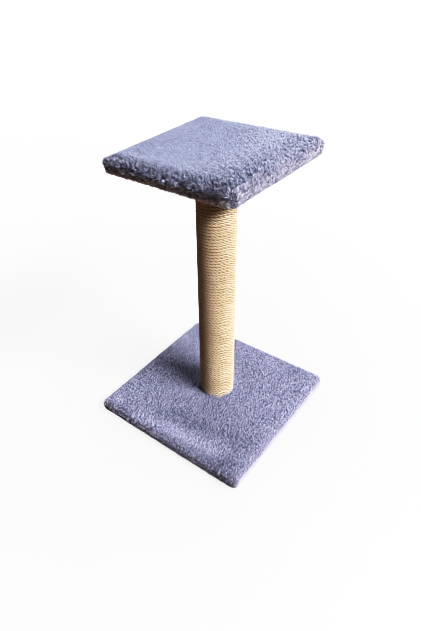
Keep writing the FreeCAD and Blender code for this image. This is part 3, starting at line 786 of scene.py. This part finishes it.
def base_plush():
    rng = np.random.default_rng(11)
    pieces = []
    ch = top_chart(BASE, 1.16, rng, (POST, POST_R - 0.6))
    x, y = ch["c1"], ch["c2"]
    nap = turned(brush(NAP_BASE, ch, BASE), 0.16 * noise2(x, y, 95, 21) + 0.12 * noise2(x, y, 36, 22))
    # brushed bands along the front-left side, and softer clouds elsewhere; the brushed band's lighter tone is painted
    # light
    wob = 8 * noise2(x, y, 60, 23) + 4 * noise2(x, y, 22, 28)
    line = -155 + 0.10 * x
    band = np.exp(-(((y + wob - line - 5) / 16) ** 2)) * smooth(-120, -75, x) * (1 - smooth(90, 140, x))
    spot = np.exp(-(((x + 150) / 26) ** 2 + ((y + 148) / 18) ** 2))
    dark = np.exp(-(((y + wob + 106 - 0.16 * np.maximum(x, 0)) / 19) ** 2)) * smooth(-70, -5, x) * (1 - 0.5 * smooth(110, 160, x))
    nook = np.exp(-(((x - 132) / 30) ** 2 + ((y + 146) / 24) ** 2))
    right = smooth(-40, 120, 0.7 * x + 0.7 * y)
    foot = np.exp(-(((np.hypot(x - POST[0], y - POST[1]) - POST_R) / 5.0) ** 2))
    # tone: the brushed band painted lighter as painted light, a pale patch at the left corner, a darker band behind it,
    # a darker patch at the front corner, lighter towards the right
    tone = 0.45 + 0.07 * noise2(x, y, 48, 24) + 0.05 * noise2(x, y, 17, 25) + 0.46 * band + 0.30 * spot - 0.26 * dark - 0.34 * nook + 0.08 * right
    # painted shade where it rolls over the front-left edge, painted light along the right edge
    tone = tone - 0.22 * (1 - smooth(4, 26, y + BASE.half)) + 0.20 * (1 - smooth(2, 23, BASE.half - x)) * (1 - nook)
    pieces += pile(
        "base_pile",
        PLUSH_BASE,
        BASE,
        ch,
        nap,
        7.2 + 0.3 * noise2(x, y, 30, 27) + foot * (3.4 + 2.6 * noise2(x, y, 6, 35)),
        0.90 + 0.06 * noise2(x, y, 40, 26) + 0.08 * band - 0.50 * foot,
        0.66,
        0.26 + 0.10 * band + 0.35 * foot,
        (4.6, 3.6, BASE_ANGLE, 0.46 - 0.24 * right + 0.10 * noise2(x, y, 45, 29), 40, 0.6),
        rng,
        tone,
        (POST, POST_R + 0.1, 40.0),
        pits=(2.2, 0.38 + 0.26 * (1 - smooth(-130, 20, x)) - 0.10 * band - 0.26 * foot, 1.7),
    )
    ch = side_chart(BASE, 1.20, rng, 1.6)
    p, q = ch["c1"], ch["c2"]
    nap = brush(NAP_BASE, ch, BASE)
    face_l = np.clip(-ch["nor"][:, 1], 0, 1)
    face_r = np.clip(ch["nor"][:, 0], 0, 1)
    low = smooth(6, 22, q)
    # tone: the right faces painted lighter, as painted light
    tone = 0.5 + 0.10 * noise2(p, q, 40, 31) + 0.06 * noise2(p, q, 12, 32) + 0.36 * face_r * (1 - 0.5 * low)
    pieces += pile(
        "base_side_pile",
        PLUSH_BASE_SIDE,
        BASE,
        ch,
        nap,
        (6.2 + 0.5 * noise2(p, q, 25, 33)) * (1 - 0.35 * low),
        0.90 + 0.10 * noise2(p, q, 22, 34) + 0.22 * low,
        0.62,
        0.20 + 0.50 * face_l * (1 - 0.5 * low),
        (3.4, 3.4, 0.0, (0.45 + 0.35 * face_l - 0.15 * face_r) * (1 - 0.5 * low), 50, 0.8),
        rng,
        tone,
        None,
        0.25,
        # a wider tone spread from tuft to tuft on the front face: painted flecks of light on its shaded pile
        0.34 + 0.5 * face_l,
    )
    ch = under_chart(BASE, 2.0, rng, 30.0)
    out = unit(ch["root"][:, :2])
    pieces += pile(
        "base_hem_pile",
        PLUSH_BASE_SIDE,
        BASE,
        ch,
        out,
        np.full(len(out), 4.0),
        np.full(len(out), 1.40),
        0.6,
        0.5 + 0 * out[:, 0],
        (6.0, 6.0, 0.0, np.full(len(out), 0.3), 60, 1.0),
        rng,
        np.full(len(out), 0.42),
        None,
        0.25,
    )
    cloth = ground_cloth("base_plush_cloth", BASE, 30.0, (POST, 4.6))
    return cloth, pieces


def top_plush():
    rng = np.random.default_rng(12)
    pieces = []
    ch = top_chart(TOP, 1.08, rng)
    x, y = ch["c1"], ch["c2"]
    half = TOP.half
    # shaggiest along the front-left side and at the front corner, sleek in the middle and at the back
    edge_l = 1 - smooth(4, 34, y + half)
    corner = 1 - smooth(30, 120, np.hypot(x - half, y + half))
    edge_r = 1 - smooth(6, 70, half - x)
    shag = np.clip(0.05 + 0.80 * edge_l + 0.55 * corner + 0.38 * edge_r + 0.14 * noise2(x, y, 50, 71), 0, 1)
    horn = np.exp(-((np.hypot(x + half, y + half) / 15) ** 2))
    # the pile stands up more and shows small hollows towards the right
    pock = smooth(-35, 85, 0.85 * x + 0.35 * y)
    swirl = (0.10 + 0.15 * shag) * noise2(x, y, 80, 72) + (0.08 + 0.2 * shag) * noise2(x, y, 28, 73)
    nap = turned(brush(NAP_TOP, ch, TOP), swirl - 0.45 * smooth(-10, 110, x))
    # tone: paler where the pile is sleek, darker where it stands up with hollows and near the right edge; painted shade
    # along the front-left edge
    tone = 0.26 + 0.46 * (1 - shag) ** 2 - 0.08 * pock - 0.46 * (1 - smooth(4, 30, y + half)) - 0.10 * (1 - smooth(10, 50, half - x)) + 0.04 * noise2(x, y, 55, 74) + 0.03 * noise2(x, y, 19, 75)
    pieces += pile(
        "top_pile",
        PLUSH_TOP,
        TOP,
        ch,
        nap,
        (7.4 + 1.6 * shag) * (1 - 0.45 * np.maximum(1 - smooth(2, 12, x + half), horn)),
        0.98 + 0.30 * np.maximum(1 - smooth(2, 12, x + half), horn) - 0.20 * shag - 0.20 * pock * (1 - shag) + 0.04 * noise2(x, y, 30, 76),
        0.60,
        0.14 + 0.30 * shag,
        (4.4, 3.6, TOP_ANGLE, 0.30 + 0.50 * shag, 80, 0.6),
        rng,
        tone,
        pits=(3.0, 0.06 + 0.40 * np.maximum(shag, 0.80 * pock) + 0.32 * edge_l, 1.0),
    )
    whole = side_chart(TOP, 1.05, rng, 1.3)
    right = whole["nor"][:, 0] > 0.6
    front = whole["nor"][:, 1] < -0.6
    upper = whole["c2"] < 9.0
    for name, material, mask in (
        ("top_edge_pile", PLUSH_TOP_DARK, upper & ~right),
        ("top_right_edge_pile", PLUSH_TOP_MIX, upper & right),
        ("top_side_pile", PLUSH_TOP_DARK, ~upper & ~right & ~front),
        ("top_front_side_pile", PLUSH_TOP_LOW, ~upper & front & ~right),
        ("top_right_side_pile", PLUSH_TOP_SIDE, ~upper & right),
    ):
        ch = part_of(whole, mask)
        p, q = ch["c1"], ch["c2"]
        nap = brush(NAP_TOP, ch, TOP)
        face_l = np.clip(-ch["nor"][:, 1], 0, 1)
        face_r = np.clip(ch["nor"][:, 0], 0, 1)
        low = smooth(8, 26, q)
        face_b = np.clip(-ch["nor"][:, 0], 0, 1)
        # handled corners: the pile lies down there
        horn = np.exp(-((np.hypot(ch["plan"][:, 0] + half, ch["plan"][:, 1] + half) / 15) ** 2))
        tip = np.exp(-((np.hypot(ch["plan"][:, 0] - half, ch["plan"][:, 1] - half) / 18) ** 2))
        # tone: painted light on the right faces, painted shade on the front face's upper part, painted light on the
        # front face's lowest rows, a little darker at the back corner
        tone = 0.46 + 0.10 * noise2(p, q, 30, 91) + 0.07 * noise2(p, q, 10, 92) + 0.08 * face_r * (1 - low) - 0.25 * face_l * (1 - low) - 0.12 * face_l * smooth(9, 10, q) + 0.75 * face_l * smooth(16, 22, q) - 0.2 * tip
        high = 1 - smooth(5, 11, q)
        pieces += pile(
            name,
            material,
            TOP,
            ch,
            nap,
            (7.4 + 2.0 * face_l * high + 0.5 * noise2(p, q, 20, 93)) * (1 - (0.45 - 0.2 * face_r) * low) * (1 - 0.42 * np.maximum(face_b, horn)) * (1 - 0.3 * tip),
            0.84 - 0.14 * face_l * high + 0.10 * noise2(p, q, 18, 94) + (0.30 - 0.15 * face_r) * low + 0.30 * np.maximum(face_b, horn) + 0.15 * tip,
            0.56,
            (0.16 + 0.74 * face_l + 0.24 * face_r) * (1 - 0.5 * low),
            (2.6, 3.2, 0.0, (0.45 + 0.25 * face_l + 0.20 * face_r) * (1 - 0.4 * low), 90, 0.85),
            rng,
            tone,
            None,
            Z_POST_TOP - 0.6,
            # a wider tone spread from tuft to tuft on the front face: painted flecks of light on its shaded pile
            0.34 + 0.6 * face_l,
            (3.0, 0.25 + 0.2 * face_l + 0.25 * face_r, 1.0),
        )
    ch = under_chart(TOP, 1.9, rng, 30.0)
    out = unit(ch["root"][:, :2])
    pieces += pile(
        "top_hem_pile",
        PLUSH_TOP_SIDE,
        TOP,
        ch,
        out,
        np.full(len(out), 5.0),
        np.full(len(out), 1.38),
        0.6,
        0.5 + 0 * out[:, 0],
        (6.0, 6.0, 0.0, np.full(len(out), 0.3), 100, 1.0),
        rng,
        # the front hem painted much lighter: painted light on its shaded underside
        np.where(out[:, 1] < -0.6, 0.95, 0.42),
    )
    cloth = ground_cloth("top_plush_cloth", TOP, 30.0, None)
    return cloth, pieces


base_cloth, base_pieces = base_plush()
top_cloth, top_pieces = top_plush()
for ob in [base_cloth] + base_pieces:
    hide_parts("base_plush_cover")
for ob in [top_cloth] + top_pieces:
    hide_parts("top_plush_cover")


# -------------------------------------------------------------------- foam pad
def foam_pad():
    """A thin foam sheet on the perch board, pressed down along its edges by the cloth."""
    half, radius, z0 = 121.4, 6.9, Z_POST_TOP + BOARD + 0.05
    ring_n = 160
    rows = []
    p = (np.arange(ring_n) + 0.5)

    def ring(inset, z):
        h, r = half - inset, max(radius - inset, 2.0)
        q, _, _ = outline(h, r, p * perimeter(h, r) / ring_n)
        return np.concatenate([q, np.full((ring_n, 1), z)], 1)

    under = lambda inset: float(TOP.height(np.array([half - inset]), np.array([0.0]))[0]) - 0.95
    profile = [(60, z0), (4, z0), (2.2, z0 + 0.05), (1.5, z0 + 0.25), (1.6, z0 + 0.6), (2.2, z0 + 1.1), (3.2, z0 + 1.55)]
    profile += [(k, under(k)) for k in (5, 8, 11, 14, 18, 22, 27, 34, 60)]
    z1 = under(60)
    for inset, z in profile:
        rows.append(ring(inset, z))
    verts = np.concatenate(rows + [np.array([[0, 0, z0]]), np.array([[0, 0, z1]])])
    faces = []
    for k in range(len(rows) - 1):
        a = k * ring_n + np.arange(ring_n)
        b = k * ring_n + (np.arange(ring_n) + 1) % ring_n
        faces.append(np.stack([a, b, b + ring_n], -1))
        faces.append(np.stack([a, b + ring_n, a + ring_n], -1))
    low, high = len(rows) * ring_n, len(rows) * ring_n + 1
    a, b = np.arange(ring_n), (np.arange(ring_n) + 1) % ring_n
    faces.append(np.stack([b, a, np.full(ring_n, low)], -1))
    k = (len(rows) - 1) * ring_n
    faces.append(np.stack([k + a, k + b, np.full(ring_n, high)], -1))
    ob = mesh_object("top_foam_pad", TOP.world(verts), np.concatenate(faces), foam_material())
    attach(ob, "root")
    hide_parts("top_padding")


foam_pad()


# ------------------------------------------------------------------ sisal rope
def rope():
    """Three yarns twisted together and wound turn against turn from the foot to the perch."""
    turns = 84
    rise = (TUBE - ROPE_D) / turns
    per_turn = math.hypot(2 * math.pi * ROPE_R, rise)
    total = turns * per_turn
    count = int(total / 1.75)
    s = np.linspace(0, total, count)
    theta = s / per_turn * 2 * math.pi + math.radians(-52)
    wander_r = 0.10 * noise2(s, 0 * s, 31, 131) + 0.08 * noise2(s, 0 * s, 9, 132)
    wander_z = 0.16 * noise2(s, 0 * s, 70, 133) + 0.10 * noise2(s, 0 * s, 23, 134)
    r = ROPE_R + wander_r
    centre = np.stack(
        [POST[0] + r * np.cos(theta), POST[1] + r * np.sin(theta), Z_POST + ROPE_D / 2 + s / total * (TUBE - ROPE_D) + wander_z],
        -1,
    )
    tangent = unit(np.gradient(centre, axis=0))
    radial = np.stack([np.cos(theta), np.sin(theta), 0 * theta], -1)
    radial = unit(radial - tangent * (radial * tangent).sum(-1, keepdims=True))
    down = np.cross(tangent, radial)
    lay = 22.5
    psi0 = 2 * math.pi * s / lay + 14.0 * noise2(s, 0 * s, 1900, 130) + 1.5 * noise2(s, 0 * s, 120, 135) + 0.25 * noise2(s, 0 * s, 30, 136)
    sides = 9
    pieces = []
    for k, letter in enumerate("abc"):
        psi = psi0 + 2 * math.pi * k / 3
        rho = 1.64 + 0.05 * noise2(s, 0 * s + 50 * k, 12, 137)
        out = np.cos(psi)[:, None] * radial + np.sin(psi)[:, None] * down
        mid = centre + rho[:, None] * out
        along = unit(np.gradient(mid, axis=0))
        n1 = unit(out - along * (out * along).sum(-1, keepdims=True))
        b1 = np.cross(along, n1)
        fat = 1.39 * (1 + 0.05 * noise2(s, 0 * s + 90 * k, 7.5, 138) + 0.03 * noise2(s, 0 * s + 90 * k, 3.6, 139))
        ends = np.minimum(1.0, 0.5 + np.minimum(s, total - s) / 6.0)
        fat = fat * ends
        phi = 2 * math.pi * np.arange(sides) / sides
        lump = 1 + 0.035 * np.stack([noise2(s, 0 * s + 13 * j + 200 * k, 4.0, 140) for j in range(sides)], 1)
        ring = mid[:, None] + (fat[:, None] * lump)[..., None] * (np.cos(phi)[None, :, None] * n1[:, None] + np.sin(phi)[None, :, None] * b1[:, None])
        verts = np.concatenate([ring.reshape(-1, 3), mid[:1] - 0.6 * along[:1], mid[-1:] + 0.6 * along[-1:]])
        i = np.repeat(np.arange(count - 1), sides)
        j = np.tile(np.arange(sides), count - 1)
        j2 = (j + 1) % sides
        a, b, c, d = i * sides + j, i * sides + j2, (i + 1) * sides + j2, (i + 1) * sides + j
        faces = np.concatenate([np.stack([a, b, c], -1), np.stack([a, c, d], -1)])
        first, last = count * sides, count * sides + 1
        jj = np.arange(sides)
        cap0 = np.stack([(jj + 1) % sides, jj, np.full(sides, first)], -1)
        k0 = (count - 1) * sides
        cap1 = np.stack([k0 + jj, k0 + (jj + 1) % sides, np.full(sides, last)], -1)
        ob = mesh_object("sisal_yarn_" + letter, verts, np.concatenate([faces, cap0, cap1]), SISAL)
        depth = np.linalg.norm(ring - centre[:, None], axis=-1).ravel()
        tint = noise2(s, 0 * s + 17 * k, 55, 141)
        away = np.linalg.norm(ring[..., :2] - POST, axis=-1).ravel() - ROPE_R
        shade = np.stack([smooth(1.72, 2.76, depth) * smooth(0.4, 2.3, away), np.repeat(0.5 + 0.5 * tint, sides), np.zeros(count * sides)], -1)
        vector_attribute(ob, "yarn", np.concatenate([shade, np.array([[0.2, 0.5, 0], [0.2, 0.5, 0]])]))
        # fibre map: along the yarn in metres, round it from 0 to 1, with the yarns set apart
        su = s * MM
        v0, v1 = j / sides, (j + 1) / sides
        quad1 = np.stack([np.stack([su[i], v0], -1), np.stack([su[i], v1], -1), np.stack([su[i + 1], v1], -1)], 1)
        quad2 = np.stack([np.stack([su[i], v0], -1), np.stack([su[i + 1], v1], -1), np.stack([su[i + 1], v0], -1)], 1)
        cap = np.zeros((2 * sides, 3, 2))
        cap[:, :, 1] = np.array([0.1, 0.2, 0.3])
        fibre = np.concatenate([quad1, quad2, cap]) + np.array([k * 31.7, 0.0])
        uv_map(ob, "fibre", fibre.reshape(-1, 2))
        # bake map: the yarn laid out in rows
        rows = 80
        per = math.ceil((count - 1) / rows)
        row, at = i // per, i % per
        x0, x1 = at / per, (at + 1) / per
        y0, y1 = (row + 0.04 + 0.92 * v0) / rows, (row + 0.04 + 0.92 * v1) / rows
        b1_ = np.stack([np.stack([x0, y0], -1), np.stack([x0, y1], -1), np.stack([x1, y1], -1)], 1)
        b2_ = np.stack([np.stack([x0, y0], -1), np.stack([x1, y1], -1), np.stack([x1, y0], -1)], 1)
        capuv = np.zeros((2 * sides, 3, 2))
        capuv[:, 0], capuv[:, 1], capuv[:, 2] = (0.001, 0.001), (0.006, 0.001), (0.003, 0.006)
        uv_map(ob, "OFBake", np.concatenate([b1_, b2_, capuv]).reshape(-1, 2))
        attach(ob, "root")
        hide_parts("sisal_rope")
        pieces.append(ob)
    return pieces, centre, tangent, radial


yarns, rope_line, rope_tan, rope_out = rope()


def loose_fibres():
    """Stray sisal hairs standing off the winding, and the frayed end at the foot."""
    rng = np.random.default_rng(17)
    n = 3600
    at = rng.integers(40, len(rope_line) - 40, n)
    down = np.cross(rope_tan[at], rope_out[at])
    a = rng.uniform(-1.25, 1.25, n)
    out = np.cos(a)[:, None] * rope_out[at] + np.sin(a)[:, None] * down
    root = rope_line[at] + 2.85 * out
    sign = rng.choice([-1.0, 1.0], n)[:, None]
    go = unit(rope_tan[at] * sign + 0.55 * rng.normal(0, 1, (n, 1)) * down + out * rng.uniform(0.15, 0.75, (n, 1)))
    length = rng.uniform(3.0, 9.0, n)
    curl = unit(rope_tan[at] * sign * 0.7 - out * 0.25 + 0.5 * rng.normal(0, 1, (n, 3)))
    wide = rng.uniform(0.10, 0.20, n)
    # the cut end of the rope, opened out over the pile
    m = 240
    t0, o0 = -rope_tan[0], rope_out[0]
    back = rng.uniform(0, 9.0, m)
    spot = rope_line[np.minimum((back / 1.75).astype(int), len(rope_line) - 1)] + o0 * rng.uniform(1.2, 3.0, (m, 1))
    spot[:, 2] += rng.uniform(1.0, 4.5, m)
    go2 = unit(0.35 * t0 + 0.95 * o0 + np.array([0, 0, 0.30]) + 0.45 * rng.normal(0, 1, (m, 3)))
    curl2 = unit(0.2 * t0 + 0.8 * o0 + np.array([0, 0, -0.35]) + 0.6 * rng.normal(0, 1, (m, 3)))
    root = np.concatenate([root, spot])
    go = np.concatenate([go, go2])
    curl = np.concatenate([curl, curl2])
    length = np.concatenate([length, rng.uniform(3.5, 9.0, m)])
    wide = np.concatenate([wide, rng.uniform(0.22, 0.40, m)])
    count = len(root)
    pts = np.stack([root + length[:, None] * (go * (s - s * s / 2) + curl * (s * s / 2)) for s in RING_T], 1)
    rel = pts[..., :2] - POST
    dist = np.linalg.norm(rel, axis=-1, keepdims=True)
    pts[..., :2] = POST + rel / dist * np.maximum(dist, POST_R - 0.7)
    pts[..., 2] = np.clip(pts[..., 2], Z_POST + 0.4, Z_POST_TOP - 0.3)
    grow = unit(np.stack([pts[:, 1] - pts[:, 0], pts[:, 2] - pts[:, 0], pts[:, 3] - pts[:, 1]], 1))
    b1 = unit(np.cross(grow, unit(rng.normal(0, 1, (count, 1, 3)))))
    b2 = np.cross(grow, b1)
    w = wide[:, None] * np.array([1.0, 0.9, 0.6])[None] / 2
    ring = np.stack([pts[:, :3] + w[..., None] * (math.cos(2 * math.pi * k / 3) * b1 + math.sin(2 * math.pi * k / 3) * b2) for k in range(3)], 2)
    verts = np.concatenate([ring.reshape(count, 9, 3), pts[:, 3:4]], 1)
    ob = mesh_object(
        "sisal_loose_fibres",
        verts.reshape(-1, 3),
        (STRAND_FACES[None] + (np.arange(count) * 10)[:, None, None]).reshape(-1, 3),
        SISAL_LOOSE,
    )
    g = math.ceil(math.sqrt(count))
    cell = np.stack([np.arange(count) % g, np.arange(count) // g], -1) / g
    col = np.array([0.06, 0.36, 0.68, 0.94])
    face_uv = np.array([(col[min(v // 3, 3)], (0.14, 0.5, 0.86)[v % 3] if v < 9 else 0.5) for f in STRAND_FACES for v in f])
    uv = cell[:, None, :] + face_uv[None] / g
    uv_map(ob, "OFBake", uv.reshape(-1, 2))
    uv_map(ob, "fibre", (uv * np.array([6.0, 9.0])).reshape(-1, 2))
    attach(ob, "root")
    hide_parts("sisal_rope")


loose_fibres()


# ----------------------------------------------------------- floor and light
def stage():
    """A pale floor that runs into a pale backdrop, a broad soft key from the right and a dim room around it."""
    scene = bpy.context.scene

    def staged(name, verts, faces, material):
        me = bpy.data.meshes.new(name)
        me.from_pydata(verts, [], faces)
        me.materials.append(material)
        ob = bpy.data.objects.new(name, me)
        scene.collection.objects.link(ob)
        # the room's own dim light reaches the part instead of a glow from the pale floor
        ob.visible_diffuse = False
        ob.visible_glossy = False
        return ob

    n = Nodes("floor")
    v = n.noise(n.coords("Object"), 3.0, 2.0)
    n.link(n.ramp(v.outputs["Fac"], [(0.3, (0.070, 0.070, 0.071)), (0.7, (0.075, 0.075, 0.075))]), n.p.inputs["Base Color"])
    n.set(Roughness=0.9, Specular_IOR_Level=0.05, Emission_Strength=1.0)
    far = n.add("VectorMath", operation="LENGTH")
    n.link(n.coords("Object"), far.inputs[0])
    n.link(n.ramp(n.span(far.outputs["Value"], 0.2, 3.0, 0.0, 1.0), [(0.0, (0.82, 0.816, 0.816)), (0.3, (0.91, 0.906, 0.906)), (1.0, (1.0, 0.995, 0.995))]), n.p.inputs["Emission Color"])
    k = 13.0
    floor = staged("floor", [(-k, -k, 0), (k, -k, 0), (k, k, 0), (-k, k, 0)], [(0, 1, 2, 3)], n.m)
    floor.location = (0, 0, -0.0004)

    n = Nodes("backdrop")
    n.set(Roughness=1.0, Specular_IOR_Level=0.0, Emission_Strength=1.05)
    n.p.inputs["Base Color"].default_value = (0, 0, 0, 1)
    n.p.inputs["Emission Color"].default_value = (1.0, 0.995, 0.995, 1.0)
    m, h = 96, 12.0
    ring = [(h * math.cos(2 * math.pi * q / m), h * math.sin(2 * math.pi * q / m)) for q in range(m)]
    verts = [(x, y, -1.0) for x, y in ring] + [(x, y, 12.0) for x, y in ring]
    faces = [(q, (q + 1) % m, m + (q + 1) % m, m + q) for q in range(m)] + [tuple(range(m, 2 * m))]
    drop = staged("backdrop", verts, faces, n.m)
    drop.visible_shadow = False

    world = bpy.data.worlds.new("studio")
    world.use_nodes = True
    t = world.node_tree
    bg = t.nodes["Background"]
    way = t.nodes.new("ShaderNodeTexCoord")

    def glow(direction, low, high, a, b):
        d = t.nodes.new("ShaderNodeVectorMath")
        d.operation = "DOT_PRODUCT"
        d.inputs[1].default_value = Vector(direction).normalized()
        t.links.new(way.outputs["Generated"], d.inputs[0])
        r = t.nodes.new("ShaderNodeValToRGB")
        e = r.color_ramp.elements
        e[0].position, e[0].color = low, (*a, 1)
        e[1].position, e[1].color = high, (*b, 1)
        h = t.nodes.new("ShaderNodeMath")
        h.operation = "MULTIPLY_ADD"
        h.inputs[1].default_value = 0.5
        h.inputs[2].default_value = 0.5
        t.links.new(d.outputs["Value"], h.inputs[0])
        t.links.new(h.outputs[0], r.inputs["Fac"])
        return r.outputs["Color"]

    def plus(a, b):
        m = t.nodes.new("ShaderNodeMix")
        m.data_type, m.blend_type = "RGBA", "ADD"
        m.inputs["Factor"].default_value = 1.0
        t.links.new(a, m.inputs["A"])
        t.links.new(b, m.inputs["B"])
        return m.outputs["Result"]

    side = glow((0.95, -0.10, 0.30), 0.70, 1.0, (0.0, 0.0, 0.0), (0.17, 0.17, 0.165))
    rear = glow((-0.36, 0.91, 0.20), 0.90, 1.0, (0.0, 0.0, 0.0), (7.2, 7.2, 7.35))
    sky = glow((0.0, 0.0, 1.0), 0.52, 1.0, (0.165, 0.080, 0.038), (0.20, 0.205, 0.22))
    front = glow((0.1, -0.8, -0.6), 0.75, 1.0, (0.0, 0.0, 0.0), (0.115, 0.072, 0.046))
    below = glow((0.0, -0.15, -1.0), 0.78, 1.0, (0.0, 0.0, 0.0), (0.60, 0.56, 0.60))
    t.links.new(plus(plus(plus(side, front), below), plus(rear, sky)), bg.inputs["Color"])
    bg.inputs["Strength"].default_value = 1.0
    scene.world = world

    # one wide, low soft box to the right
    d = bpy.data.lights.new("key", "AREA")
    d.shape, d.size, d.size_y = "RECTANGLE", 1.95, 0.45
    d.energy = 458.0
    d.color = (1.0, 0.985, 0.965)
    ob = bpy.data.objects.new("key", d)
    bearing = math.radians(3)
    place = Vector((2.90 * math.cos(bearing), 2.90 * math.sin(bearing), 2.78))
    ob.location = place
    ob.rotation_euler = (place - Vector((0, 0, 0.27))).to_track_quat("Z", "Y").to_euler()
    scene.collection.objects.link(ob)


stage()

bpy.context.scene.cycles.filter_width = 0.7
view = bpy.context.scene.view_settings
view.view_transform = "Standard"
view.look = "None"
# a camera's gentle contrast: deeper shade, rolled-off lights
view.use_curve_mapping = True
curve = view.curve_mapping.curves[3]
for at, to in ((0.05, 0.027), (0.12, 0.082), (0.30, 0.296), (0.55, 0.630), (0.75, 0.822), (0.90, 0.918)):
    curve.points.new(at, to)
curve.points[-1].location = (1.0, 0.970)
view.curve_mapping.update()
